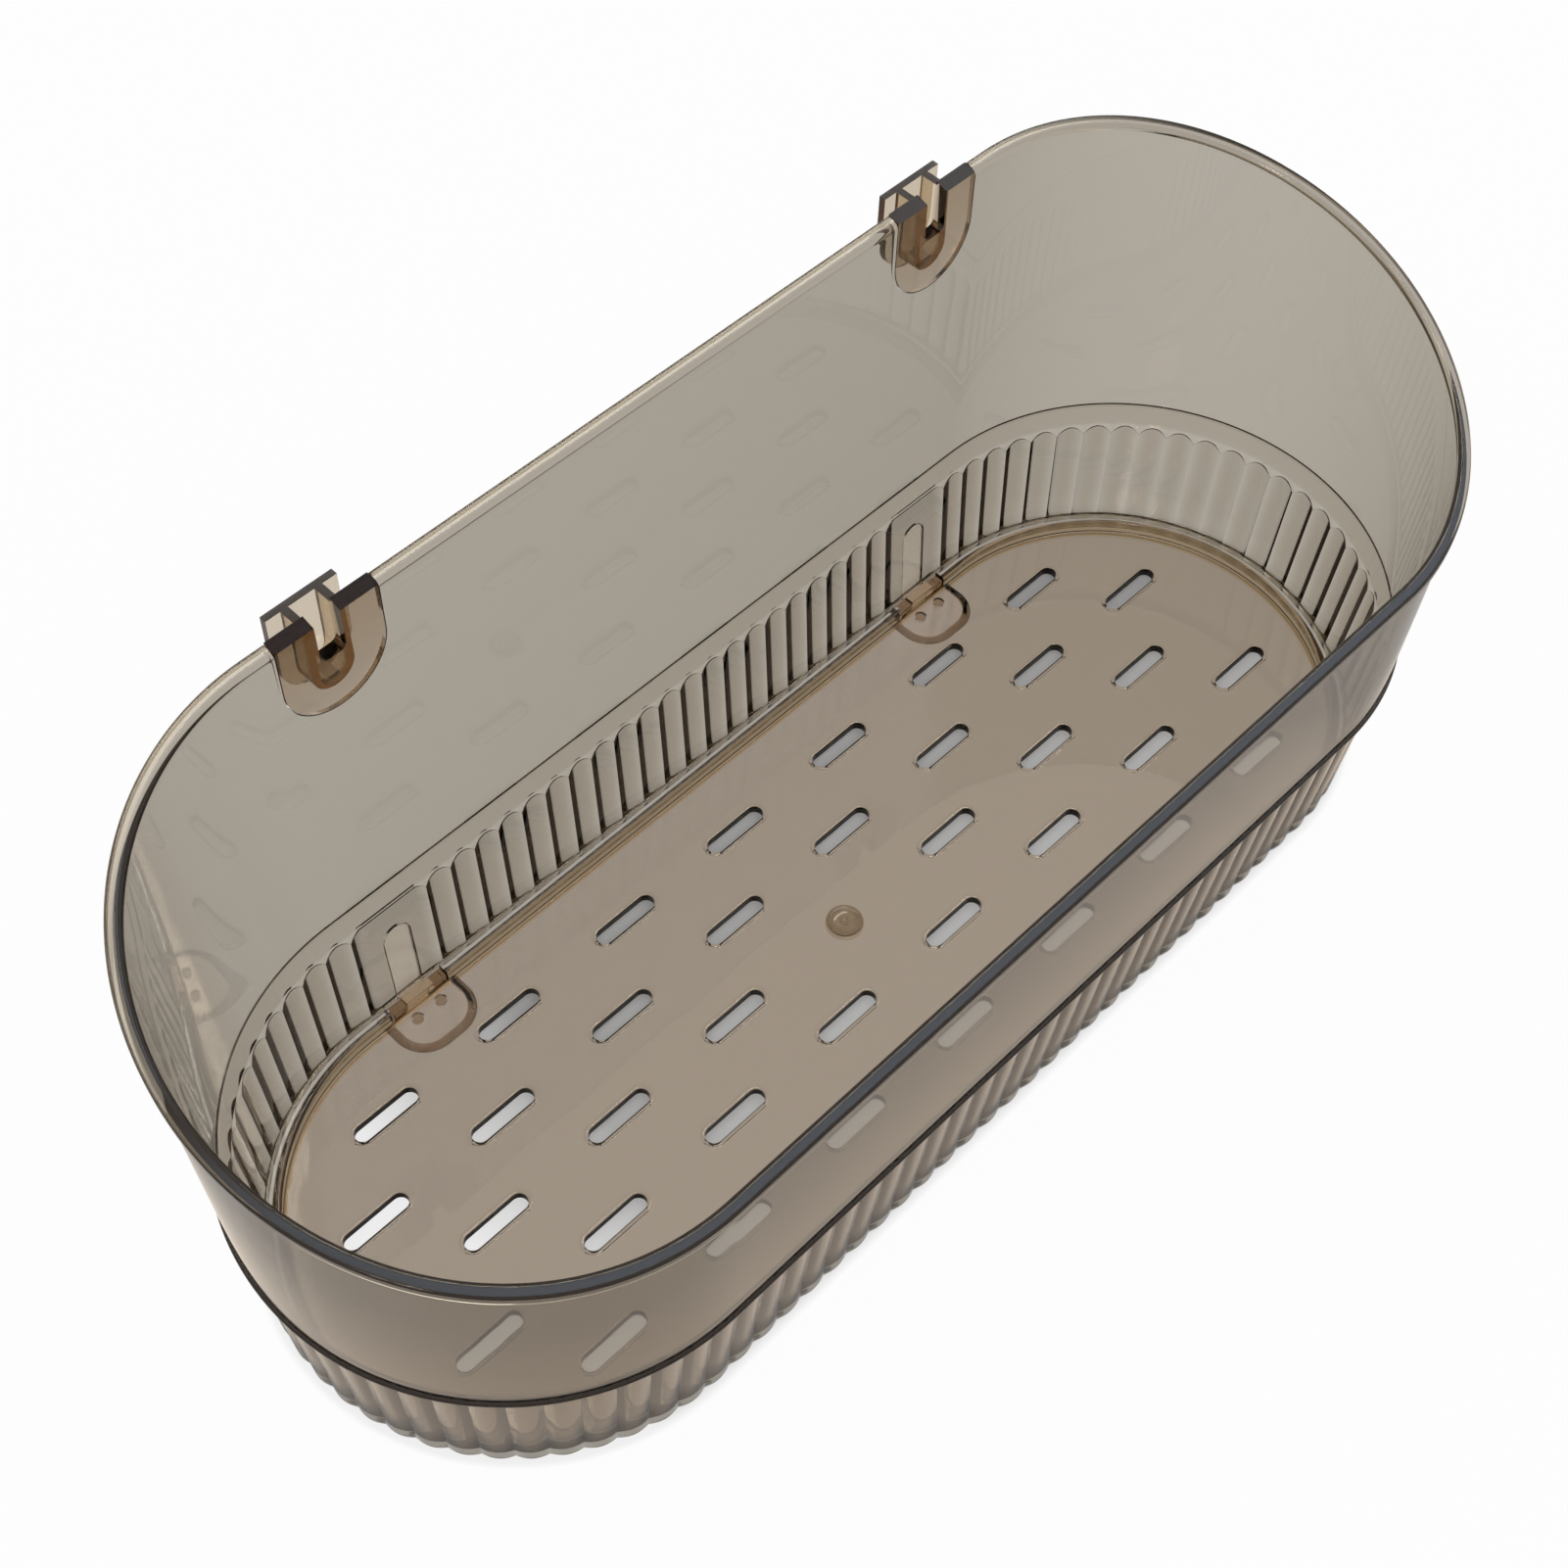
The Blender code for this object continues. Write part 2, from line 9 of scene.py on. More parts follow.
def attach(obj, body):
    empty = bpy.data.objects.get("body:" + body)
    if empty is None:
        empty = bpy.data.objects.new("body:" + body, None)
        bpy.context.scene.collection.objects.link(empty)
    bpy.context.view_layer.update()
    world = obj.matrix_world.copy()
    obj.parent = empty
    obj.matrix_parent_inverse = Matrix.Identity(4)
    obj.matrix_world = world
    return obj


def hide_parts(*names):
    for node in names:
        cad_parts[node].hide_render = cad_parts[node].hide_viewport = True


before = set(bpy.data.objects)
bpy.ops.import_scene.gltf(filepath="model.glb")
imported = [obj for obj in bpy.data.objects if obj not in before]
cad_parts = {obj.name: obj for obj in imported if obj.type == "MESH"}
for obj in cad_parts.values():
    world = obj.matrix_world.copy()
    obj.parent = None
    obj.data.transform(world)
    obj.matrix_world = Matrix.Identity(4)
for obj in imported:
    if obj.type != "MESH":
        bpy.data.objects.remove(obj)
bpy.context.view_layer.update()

# The basket: one injection moulding in clear smoke-brown plastic. A smooth upper wall with
# a sloping rim stands on a fluted lower wall, and the floor is pierced by drain slots.
# Metres, with +X along the basket and +Y to the wall that it hangs on.
STRAIGHT_HALF = 0.0889
SEAM_RADIUS = 0.0557
SEAM_HEIGHT = 0.0377
SEAM_FOOT = 0.0314
SEAM_CORNER = 0.0350
SEAM_BEAD = 0.0006
SEAM_BEAD_HEIGHT = 0.0018
SEAM_BEAD_SHARES = (0, 0.08, 0.2, 0.35, 0.5, 0.65, 0.8, 0.92, 1)
UPPER_WALL = 0.0018
UPPER_DRAFT = 0.0175
END_FLARE = 0.0338
RIM_MIDDLE = 0.099456
RIM_SLOPE = 0.317
RIM_ROUNDS = 8
LIP_HEIGHT = 0.0025
LIP_PROUD = 0.00095
LIP_FILLET = 0.0002
LIP_OUTER_ROUND = 0.0005
LIP_INNER_ROUND = 0.0011
LIP_INSIDE = 0.00002
LIP_INSIDE_FADE = 0.0003
FOOT_RADIUS = 0.05154
FOOT_ROUND = 0.0005
LOWER_DRAFT = 0.071
LOWER_WALL = 0.0018
FLUTE_BULGE = 0.0007
FLUTE_TOP = 0.0312
FLUTE_TOP_EDGE = 0.0001
FLUTE_ARCH = 0.0020
CHANNEL_DEPTH = 0.00014
CHANNEL_ARCH = 0.0020
CHANNEL_FOOT_ARCH = 0.0009
CHANNEL_TOP_GAP = 0.0003
CHANNEL_FOOT_GAP = 0.0006
SHOULDER_TOP = 0.0369
SHOULDER_BOTTOM = 0.03336
SHOULDER_BLEND = 0.0004
SHOULDER_EDGE = 0.0001
SHOULDER_EASE = 0.00002
RIDGE_EASE = 0.00003
SIDE_FLUTES = 28
END_FLUTES = 26
ALL_FLUTES = 2 * (SIDE_FLUTES + END_FLUTES)
STEPS_PER_FLUTE = 8
PAD_FIRST = 10.5
PAD_LAST = 13.5
PAD_EDGE = 0.25
FLOOR = 0.0020
FLOOR_FILLET = 0.0005
BAND_TOP = 0.0052
BAND_WIDTH = 0.0025
BAND_SETBACK = 0.0006
BAND_FILLET = 0.0003
BAND_ROUND = 0.0009
GROOVE_INNER = 0.0484
GROOVE_OUTER = 0.0506
GROOVE_TOP = 0.0037
GROOVE_EDGE = 0.0002

# Places round the basket, counted in flutes from the middle of the back wall.
station = np.arange(ALL_FLUTES * STEPS_PER_FLUTE) / STEPS_PER_FLUTE - 0.5
lap = (station + SIDE_FLUTES / 2) % ALL_FLUTES
on_back = lap < SIDE_FLUTES
on_right = (lap >= SIDE_FLUTES) & (lap < SIDE_FLUTES + END_FLUTES)
on_front = (lap >= SIDE_FLUTES + END_FLUTES) & (lap < 2 * SIDE_FLUTES + END_FLUTES)
turn_right = math.pi / 2 - math.pi * (lap - SIDE_FLUTES) / END_FLUTES
turn_left = -math.pi / 2 - math.pi * (lap - 2 * SIDE_FLUTES - END_FLUTES) / END_FLUTES
turn = np.select([on_back, on_right, on_front], [math.pi / 2, turn_right, -math.pi / 2], turn_left)
front_along = 1 - 2 * (lap - SIDE_FLUTES - END_FLUTES) / SIDE_FLUTES
along = np.select([on_back, on_right, on_front], [2 * lap / SIDE_FLUTES - 1, 1.0, front_along], -1.0)
out_x, out_y = np.cos(turn), np.sin(turn)

# Height of a flute over its valleys, from 0 to 1. Each pad is one wide flat flute.
from_middle = np.abs((station + ALL_FLUTES / 2) % ALL_FLUTES - ALL_FLUTES / 2)
across = (station + 0.5) % 1.0 - 0.5
on_pad = (from_middle > PAD_FIRST + PAD_EDGE) & (from_middle < PAD_LAST - PAD_EDGE)
flute = np.where(on_pad, 1.0, 1 - (2 * across) ** 2)


def upper_radius(z):
    return SEAM_RADIUS + UPPER_DRAFT * (z - SEAM_HEIGHT)


def valley_radius(z):
    return FOOT_RADIUS + LOWER_DRAFT * z


def inner_ridge(z):
    return valley_radius(z) - LOWER_WALL


def loop_at(z, radius):
    """One closed loop round the basket. Above the seam the ends flare out with height."""
    z = np.broadcast_to(z, station.shape)
    half = STRAIGHT_HALF + END_FLARE * np.maximum(z - SEAM_HEIGHT, 0)
    return np.column_stack((half * along + radius * out_x, radius * out_y, z))


def rim_loop(drop, inset):
    """A loop a given drop below the sloping rim and a given inset from the outer face.

    The wall leans, so the height and the radius are found together in a few rounds.
    """
    z = np.full(station.shape, RIM_MIDDLE)
    for _ in range(RIM_ROUNDS):
        z = RIM_MIDDLE + RIM_SLOPE * (upper_radius(z) - inset) * out_y - drop
    return loop_at(z, upper_radius(z) - inset)


def fluted_loop(z, arch, face, depth):
    """A loop that bulges over each flute, and dips beside it where the flute ends in an arch."""
    z_here = z - arch * (1 - flute)
    return loop_at(z_here, face(z_here) + depth * flute)


# The underside has a groove beneath the ledge, so that the wall is even all the way.
loops = [loop_at(0, GROOVE_INNER - GROOVE_EDGE), loop_at(GROOVE_EDGE, GROOVE_INNER)]
groove_half = (GROOVE_OUTER - GROOVE_INNER) / 2
for lift in range(0, 181, 20):
    swing = math.radians(lift)
    z = GROOVE_TOP - groove_half * (1 - math.sin(swing))
    loops.append(loop_at(z, GROOVE_INNER + groove_half * (1 - math.cos(swing))))
loops += [loop_at(GROOVE_EDGE, GROOVE_OUTER), loop_at(0, GROOVE_OUTER + GROOVE_EDGE)]

# Up the outside: a rounded foot, the flutes, and the seam that steps out to the smooth wall.
for lift in (0, 22, 45, 67, 90):
    swing = math.radians(lift)
    z = FOOT_ROUND * (1 - math.cos(swing))
    radius = valley_radius(FOOT_ROUND) - FOOT_ROUND * (1 - math.sin(swing))
    loops.append(loop_at(z, radius + FLUTE_BULGE * flute * math.sin(swing)))
for share in (0.25, 0.5, 0.75):
    z = FOOT_ROUND + share * (FLUTE_TOP - FOOT_ROUND)
    loops.append(fluted_loop(z, 0, valley_radius, FLUTE_BULGE))
loops.append(fluted_loop(FLUTE_TOP - FLUTE_TOP_EDGE, FLUTE_ARCH, valley_radius, FLUTE_BULGE))
loops.append(fluted_loop(FLUTE_TOP, FLUTE_ARCH, valley_radius, 0))
loops.append(loop_at(SEAM_FOOT, valley_radius(SEAM_FOOT)))
for share in SEAM_BEAD_SHARES:
    z = SEAM_CORNER + SEAM_BEAD_HEIGHT * share
    loops.append(loop_at(z, upper_radius(z) + SEAM_BEAD * math.sin(math.pi * share)))

# The rim is a lip that stands proud outside and is well rounded on its inner edge.
loops.append(rim_loop(LIP_HEIGHT + LIP_FILLET, 0))
for lift in (20, 45, 70):
    swing = math.radians(lift)
    drop = LIP_HEIGHT + LIP_FILLET * (1 - math.sin(swing))
    loops.append(rim_loop(drop, -LIP_FILLET * (1 - math.cos(swing))))
for lift in (0, 22, 45, 67, 90):
    swing = math.radians(lift)
    inset = LIP_OUTER_ROUND * (1 - math.sin(swing)) - LIP_PROUD
    loops.append(rim_loop(LIP_HEIGHT - LIP_OUTER_ROUND * (1 - math.cos(swing)), inset))
for lift in (0, 22, 45, 67, 90):
    swing = math.radians(lift)
    inset = LIP_OUTER_ROUND * (1 - math.cos(swing)) - LIP_PROUD
    loops.append(rim_loop(LIP_OUTER_ROUND * (1 - math.sin(swing)), inset))
for lift in range(90, -1, -15):
    swing = math.radians(lift)
    inset = UPPER_WALL + LIP_INSIDE - LIP_INNER_ROUND * (1 - math.cos(swing))
    loops.append(rim_loop(LIP_INNER_ROUND * (1 - math.sin(swing)), inset))
loops.append(rim_loop(LIP_HEIGHT - LIP_INSIDE_FADE, UPPER_WALL + LIP_INSIDE))
loops.append(rim_loop(LIP_HEIGHT, UPPER_WALL))

# Down the inside: the shoulder, the shallow channels, the ledge and the floor.
blend_top = SHOULDER_TOP + SHOULDER_BLEND
inside = upper_radius(SHOULDER_TOP) - UPPER_WALL
ridge = inner_ridge(SHOULDER_BOTTOM)
fall = SHOULDER_TOP - SHOULDER_BOTTOM
loops.append(loop_at(blend_top, upper_radius(blend_top) - UPPER_WALL))
loops.append(loop_at(SHOULDER_TOP + SHOULDER_EDGE, inside - SHOULDER_EASE))
for share in (0.06, 0.5, 0.94):
    loops.append(loop_at(SHOULDER_TOP - share * fall, inside - share * (inside - ridge)))
loops.append(loop_at(SHOULDER_BOTTOM, ridge + RIDGE_EASE))
channel_top = SHOULDER_BOTTOM - CHANNEL_TOP_GAP
channel_bottom = BAND_TOP + CHANNEL_FOOT_GAP
loops.append(fluted_loop(channel_top, CHANNEL_ARCH, inner_ridge, CHANNEL_DEPTH))
for share in (0.1, 0.5, 0.9):
    z = channel_top + (channel_bottom - channel_top) * share
    loops.append(fluted_loop(z, 0, inner_ridge, CHANNEL_DEPTH))
loops.append(fluted_loop(channel_bottom, -CHANNEL_FOOT_ARCH, inner_ridge, CHANNEL_DEPTH))
band_outer = inner_ridge(BAND_TOP)
band_inner = band_outer - BAND_SETBACK - BAND_WIDTH
for lift in (90, 45, 0):
    swing = math.radians(lift)
    z = BAND_TOP + BAND_FILLET * (1 - math.cos(swing))
    loops.append(loop_at(z, band_outer - BAND_FILLET * (1 - math.sin(swing))))
for lift in range(90, -1, -15):
    swing = math.radians(lift)
    z = BAND_TOP - BAND_ROUND * (1 - math.sin(swing))
    loops.append(loop_at(z, band_inner + BAND_ROUND * (1 - math.cos(swing))))
for lift in (0, 30, 60, 90):
    swing = math.radians(lift)
    z = FLOOR + FLOOR_FILLET * (1 - math.sin(swing))
    loops.append(loop_at(z, band_inner - FLOOR_FILLET * (1 - math.cos(swing))))

shell = bmesh.new()


def add_loop(points):
    return [shell.verts.new(point) for point in points]


def join_loops(first, second):
    count = len(first)
    for i in range(count):
        j = (i + 1) % count
        shell.faces.new((first[i], first[j], second[j], second[i]))


rings = [add_loop(points) for points in loops]
for below, above in zip(rings, rings[1:]):
    join_loops(below, above)

# The drain slots are moulded through the floor in a staggered pattern. Each has a low soft
# lip round its top edge, and the place in the middle of the floor is left for the boss.
SLOT_LENGTH = 0.0154
SLOT_WIDTH = 0.0036
SLOT_PITCH = 0.0325
SLOT_MARGIN = 0.0075
SLOT_LIP = 0.0010
SLOT_LIP_HEIGHT = 0.00018
SLOT_FOOT_EDGE = 0.0002
SLOT_END_STEPS = 10
slot_lip_top = FLOOR + SLOT_LIP_HEIGHT

# From the floor over the lip and down to the underside: how far out from the slot, and height.
SLOT_PROFILE = (
    (SLOT_LIP + 0.0001, FLOOR),
    (SLOT_LIP, FLOOR + 0.00002),
    (SLOT_LIP - 0.0001, slot_lip_top - 0.00004),
    (SLOT_LIP - 0.0002, slot_lip_top),
    (0.0004, slot_lip_top),
    (0.0002, slot_lip_top - 0.00005),
    (0.00006, slot_lip_top - 0.0002),
    (0, slot_lip_top - 0.0004),
    (0, SLOT_FOOT_EDGE),
    (SLOT_FOOT_EDGE, 0),
)


def slot_outline(x, y, grow, z):
    half = SLOT_LENGTH / 2 - SLOT_WIDTH / 2
    radius = SLOT_WIDTH / 2 + grow
    points = []
    for side, start in ((1, -90), (-1, 90)):
        for i in range(SLOT_END_STEPS + 1):
            swing = math.radians(start + 180 * i / SLOT_END_STEPS)
            points.append((x + side * half + radius * math.cos(swing), y + radius * math.sin(swing), z))
    return points


slot_limit = band_inner - SLOT_MARGIN
top_edges = [rings[-1]]
foot_edges = [rings[0]]
for row in range(-2, 3):
    for column in range(-5, 6):
        x = (column + (0.5 if row % 2 else 0)) * SLOT_PITCH
        y = row * SLOT_PITCH / 2
        past = max(abs(x) + (SLOT_LENGTH - SLOT_WIDTH) / 2 - STRAIGHT_HALF, 0)
        if math.hypot(past, y) + SLOT_WIDTH / 2 > slot_limit or (row == 0 and column == 0):
            continue
        walls = [add_loop(slot_outline(x, y, grow, z)) for grow, z in SLOT_PROFILE]
        for above, below in zip(walls, walls[1:]):
            join_loops(above, below)
        top_edges.append(walls[0])
        foot_edges.append(walls[-1])

# The boss is where the plastic entered the mould: a round bead with a smaller one inside it.
BOSS_RADIUS = 0.00385
BOSS_STEP = 10

# From the foot of the outer bead to the middle: radius, and height over the floor.
BOSS_PROFILE = (
    (BOSS_RADIUS, 0),
    (BOSS_RADIUS - 0.0001, 0.0002),
    (BOSS_RADIUS - 0.0003, 0.0004),
    (BOSS_RADIUS - 0.0006, 0.0005),
    (BOSS_RADIUS - 0.0010, 0.0004),
    (BOSS_RADIUS - 0.0013, 0.0001),
    (BOSS_RADIUS - 0.0015, 0),
    (0.0012, 0),
    (0.0010, 0.0002),
    (0.0007, 0.0003),
    (0.0004, 0.0002),
    (0.0002, 0.0001),
)
boss_swings = np.radians(np.arange(0, 360, BOSS_STEP))
boss = []
for radius, height in BOSS_PROFILE:
    circle = [(radius * math.cos(a), radius * math.sin(a), FLOOR + height) for a in boss_swings]
    boss.append(add_loop(circle))
for outer, inner in zip(boss, boss[1:]):
    join_loops(outer, inner)
shell.faces.new(boss[-1])
top_edges.append(boss[0])


def fill_flat(edge_loops):
    """Close a flat face that has holes in it."""
    edges = []
    for loop in edge_loops:
        for i in range(len(loop)):
            edges.append(shell.edges.get((loop[i], loop[(i + 1) % len(loop)])))
    bmesh.ops.triangle_fill(shell, use_beauty=True, use_dissolve=False, edges=edges)


fill_flat(top_edges)
fill_flat(foot_edges)


def new_piece(name, bm):
    bmesh.ops.recalc_face_normals(bm, faces=bm.faces)
    mesh = bpy.data.meshes.new(name)
    bm.to_mesh(mesh)
    bm.free()
    piece = bpy.data.objects.new(name, mesh)
    bpy.context.scene.collection.objects.link(piece)
    return piece


basket = new_piece("smoke_basket", shell)

# Seats cut for the fittings: a U-shaped opening for each hanger, and for each lower clip a
# pocket under the floor, a doorway through the foot of the wall and a recess in the pad.
FIT = 0.00022
FITTING_X = 0.0757
BACK_RIM = 0.1176
PLATE_HALF = 0.0110
PLATE_DEPTH = 0.0226
PLATE_TOP = RIM_MIDDLE + RIM_SLOPE * upper_radius(BACK_RIM)
CURVE_STEPS = 36
OVERSHOOT = 0.004
TONGUE_HALF = 0.00325
TONGUE_THICKNESS = 0.0010
TONGUE_TOP = 0.0245
NECK_HALF = 0.0069
NECK_TOP = 0.0029
NECK_FRONT = band_inner
NECK_BACK = valley_radius(0) - LOWER_WALL
FOOT_HALF = 0.0075
FOOT_LENGTH = 0.0090
FOOT_CORNER = 0.0055
FOOT_RAISE = 0.0002
FOOT_THICKNESS = 0.0008
FOOT_TOP = FOOT_RAISE + FOOT_THICKNESS
FOOT_DRAFT = 0.0020
PIN_RADIUS = 0.00115
PIN_OFFSET = 0.00305
PIN_Y = NECK_FRONT - 0.00226


def solid_between(name, low_points, high_points):
    """A solid with two like ends, joined corner to corner."""
    bm = bmesh.new()
    low = [bm.verts.new(point) for point in low_points]
    high = [bm.verts.new(point) for point in high_points]
    bm.faces.new(low)
    bm.faces.new(high)
    for i in range(len(low)):
        j = (i + 1) % len(low)
        bm.faces.new((low[i], low[j], high[j], high[i]))
    return new_piece(name, bm)


def facing(name, outline, front, rear):
    """A solid with its outline in X and Z, between two walls that may lean."""
    front_points = [(x, front(z), z) for x, z in outline]
    return solid_between(name, front_points, [(x, rear(z), z) for x, z in outline])


def tapered(name, bottom_outline, bottom, top_outline, top):
    """A solid whose outline in X and Y shrinks as it goes up."""
    bottom_points = [(x, y, bottom) for x, y in bottom_outline]
    return solid_between(name, bottom_points, [(x, y, top) for x, y in top_outline])


def standing(name, outline, bottom, top):
    """A solid with its outline in X and Y."""
    return tapered(name, outline, bottom, outline, top)


def rectangle(x, y):
    return [(x[0], y[0]), (x[1], y[0]), (x[1], y[1]), (x[0], y[1])]


def curve(centre, radius, start, end, steps=CURVE_STEPS):
    points = []
    for i in range(steps + 1):
        swing = math.radians(start + (end - start) * i / steps)
        points.append((centre[0] + radius * math.cos(swing), centre[1] + radius * math.sin(swing)))
    return points


def u_shape(half, top, bottom, corner):
    left = curve((-half + corner, bottom + corner), corner, 180, 270, CURVE_STEPS // 2)
    right = curve((half - corner, bottom + corner), corner, 270, 360, CURVE_STEPS // 2)
    return [(-half, top)] + left + (right[1:] if corner >= half else right) + [(half, top)]


def arch_shape(half, bottom, top):
    return [(-half, bottom)] + curve((0, top - half), half, 180, 0) + [(half, bottom)]


def moved(outline, x):
    return [(a + x, b) for a, b in outline]


def pad_radius(z):
    return valley_radius(z) + FLUTE_BULGE


def plate_outline(grow):
    half = PLATE_HALF + grow
    return u_shape(half, PLATE_TOP + OVERSHOOT, PLATE_TOP - PLATE_DEPTH - grow, half)


def foot_outline(grow):
    back = NECK_FRONT + FIT
    return u_shape(FOOT_HALF + grow, back + grow, back - FOOT_LENGTH - grow, FOOT_CORNER + grow)


def seats(x):
    """The tools that cut the seats at one end of the basket, one after the other."""
    yield facing("seat", moved(plate_outline(FIT), x), lambda z: upper_radius(z) - UPPER_WALL - OVERSHOOT,
                 lambda z: upper_radius(z) + OVERSHOOT)
    sides = (x - NECK_HALF - FIT, x + NECK_HALF + FIT)
    wide_foot = moved(foot_outline(FIT + FOOT_DRAFT), x)
    yield tapered("pocket", wide_foot, -FIT, moved(foot_outline(FIT), x), FOOT_TOP + FIT)
    yield standing("notch", rectangle(sides, (NECK_FRONT, NECK_BACK)), -OVERSHOOT, BAND_TOP + OVERSHOOT)
    doorway = rectangle(sides, (NECK_BACK - FIT, SEAM_RADIUS))
    yield standing("doorway", doorway, -OVERSHOOT, NECK_TOP + FIT)
    yield facing("recess", moved(arch_shape(TONGUE_HALF + FIT, -OVERSHOOT, TONGUE_TOP + FIT), x),
                 lambda z: pad_radius(z) - TONGUE_THICKNESS - FIT, lambda z: pad_radius(z) + OVERSHOOT)
    for side in (-1, 1):
        hole = curve((x + side * PIN_OFFSET, PIN_Y), PIN_RADIUS + FIT, 0, 360)[:-1]
        yield standing("hole", hole, -OVERSHOOT, FLOOR + OVERSHOOT)


def apply_modifiers(piece):
    """Give a piece the mesh that its modifiers make, and take them away."""
    bpy.context.view_layer.update()
    made = bpy.data.meshes.new_from_object(piece.evaluated_get(bpy.context.evaluated_depsgraph_get()))
    before = piece.data
    piece.modifiers.clear()
    piece.data = made
    bpy.data.meshes.remove(before)


def cut_or_join(piece, tool, operation):
    """One boolean with a tool, which is then taken away."""
    modifier = piece.modifiers.new(operation.lower(), "BOOLEAN")
    modifier.operation = operation
    modifier.solver = "EXACT"
    modifier.object = tool
    apply_modifiers(piece)
    tool_mesh = tool.data
    bpy.data.objects.remove(tool)
    bpy.data.meshes.remove(tool_mesh)


for x in (-FITTING_X, FITTING_X):
    for tool in seats(x):
        cut_or_join(basket, tool, "DIFFERENCE")

# The basket's finish: glossy smoke plastic. The floor is painted warmer than the walls as painted light,
# the step of the ledge has painted brown shade with a painted gold highlight at its foot, and the boss is
# browner than the floor round it.
SHARP_FROM = 32
GLASSY = 1.5
CLEAR = (1, 1, 1)
BROWN_GLOSS = (1, 0.82, 0.68)
HAZE_SCALE = 90
HAZE_SPREAD = 0.4
WAVE_SCALE = 60
WAVE_STRENGTH = 0.2
WAVE_HEIGHT = 0.0001
SMOKE_BROWN = (0.527, 0.467, 0.367)
SMOKE_DENSITY = 750
SMOKE_ROUGHNESS = 0.02
FLOOR_PAINTED_WARM_LIGHT = (1, 0.92, 0.86)
LEDGE_PAINTED_HIGHLIGHT = (1, 0.74, 0.44)
LEDGE_PAINTED_SHADE = (0.50, 0.33, 0.17)
LEDGE_REACH = 0.001
BOSS_BROWN = (0.66, 0.52, 0.38)
BOSS_MARGIN = 0.0002


def soften(piece):
    """Smooth shading that keeps the moulded edges crisp and the flats flat."""
    piece.data.shade_smooth()
    piece.data.set_sharp_from_angle(angle=math.radians(SHARP_FROM))
    modifier = piece.modifiers.new("flat_normals", "WEIGHTED_NORMAL")
    modifier.keep_sharp = True
    apply_modifiers(piece)


def smoke_plastic(name, clear_colour, density, roughness):
    """Clear plastic that darkens and browns with depth, a little wavy from the mould."""
    material = bpy.data.materials.new(name)
    material.use_nodes = True
    nodes, links = material.node_tree.nodes, material.node_tree.links
    shader = nodes["Principled BSDF"]
    shader.inputs["Transmission Weight"].default_value = 1.0
    shader.inputs["IOR"].default_value = GLASSY
    shader.inputs["Base Color"].default_value = (*CLEAR, 1)
    shader.inputs["Specular Tint"].default_value = (*BROWN_GLOSS, 1)
    place = nodes.new("ShaderNodeTexCoord")
    haze = nodes.new("ShaderNodeTexNoise")
    haze.inputs["Scale"].default_value = HAZE_SCALE
    haze.inputs["Detail"].default_value = 3
    gloss = nodes.new("ShaderNodeMapRange")
    gloss.inputs["To Min"].default_value = roughness * (1 - HAZE_SPREAD)
    gloss.inputs["To Max"].default_value = roughness * (1 + HAZE_SPREAD)
    wave = nodes.new("ShaderNodeTexNoise")
    wave.inputs["Scale"].default_value = WAVE_SCALE
    wave.inputs["Detail"].default_value = 1
    bump = nodes.new("ShaderNodeBump")
    bump.inputs["Strength"].default_value = WAVE_STRENGTH
    bump.inputs["Distance"].default_value = WAVE_HEIGHT
    links.new(place.outputs["Object"], haze.inputs["Vector"])
    links.new(haze.outputs["Fac"], gloss.inputs["Value"])
    links.new(gloss.outputs["Result"], shader.inputs["Roughness"])
    links.new(place.outputs["Object"], wave.inputs["Vector"])
    links.new(wave.outputs["Fac"], bump.inputs["Height"])
    links.new(bump.outputs["Normal"], shader.inputs["Normal"])
    depth = nodes.new("ShaderNodeVolumeAbsorption")
    depth.inputs["Color"].default_value = (*clear_colour, 1)
    depth.inputs["Density"].default_value = density
    links.new(depth.outputs["Volume"], nodes["Material Output"].inputs["Volume"])
    return material


def feed(tree, socket, source):
    """Link a socket to another node's output, or set it to a plain value."""
    if isinstance(source, bpy.types.NodeSocket):
        tree.links.new(source, socket)
    else:
        socket.default_value = source


def reckon(tree, operation, *terms, clamp=False):
    """One step of arithmetic on numbers and on the outputs of other nodes."""
    step = tree.nodes.new("ShaderNodeMath")
    step.operation = operation
    step.use_clamp = clamp
    for socket, term in zip(step.inputs, terms):
        feed(tree, socket, term)
    return step.outputs["Value"]


def graded(tree, source, start, end, first=0, last=1):
    """A value that goes from first to last as the source goes from start to end."""
    grade = tree.nodes.new("ShaderNodeMapRange")
    for name, value in (("From Min", start), ("From Max", end), ("To Min", first), ("To Max", last)):
        grade.inputs[name].default_value = value
    tree.links.new(source, grade.inputs["Value"])
    return grade.outputs["Result"]


def coloured(tree, source, *stops):
    """Colours along the source. Each stop is a value from 0 to 1 and the colour there."""
    ramp = tree.nodes.new("ShaderNodeValToRGB")
    tree.links.new(source, ramp.inputs["Fac"])
    elements = ramp.color_ramp.elements
    for element, (position, colour) in zip((elements[0], elements[1]), (stops[0], stops[-1])):
        element.position = position
        element.color = (*colour, 1)
    for position, colour in stops[1:-1]:
        elements.new(position).color = (*colour, 1)
    return ramp.outputs["Color"]


def blended(tree, share, first, second):
    """A colour that goes from the first to the second as the share goes from 0 to 1."""
    mix = tree.nodes.new("ShaderNodeMix")
    mix.data_type = "RGBA"
    tree.links.new(share, mix.inputs["Factor"])
    for name, colour in (("A", first), ("B", second)):
        feed(tree, mix.inputs[name], (*colour, 1) if isinstance(colour, tuple) else colour)
    return mix.outputs["Result"]


def parts_of(tree, vector):
    """The X, Y and Z of a vector."""
    parts = tree.nodes.new("ShaderNodeSeparateXYZ")
    tree.links.new(vector, parts.inputs["Vector"])
    return parts.outputs


def place_on(tree):
    """The place of each point on a piece, in metres."""
    return parts_of(tree, tree.nodes.new("ShaderNodeTexCoord").outputs["Object"])


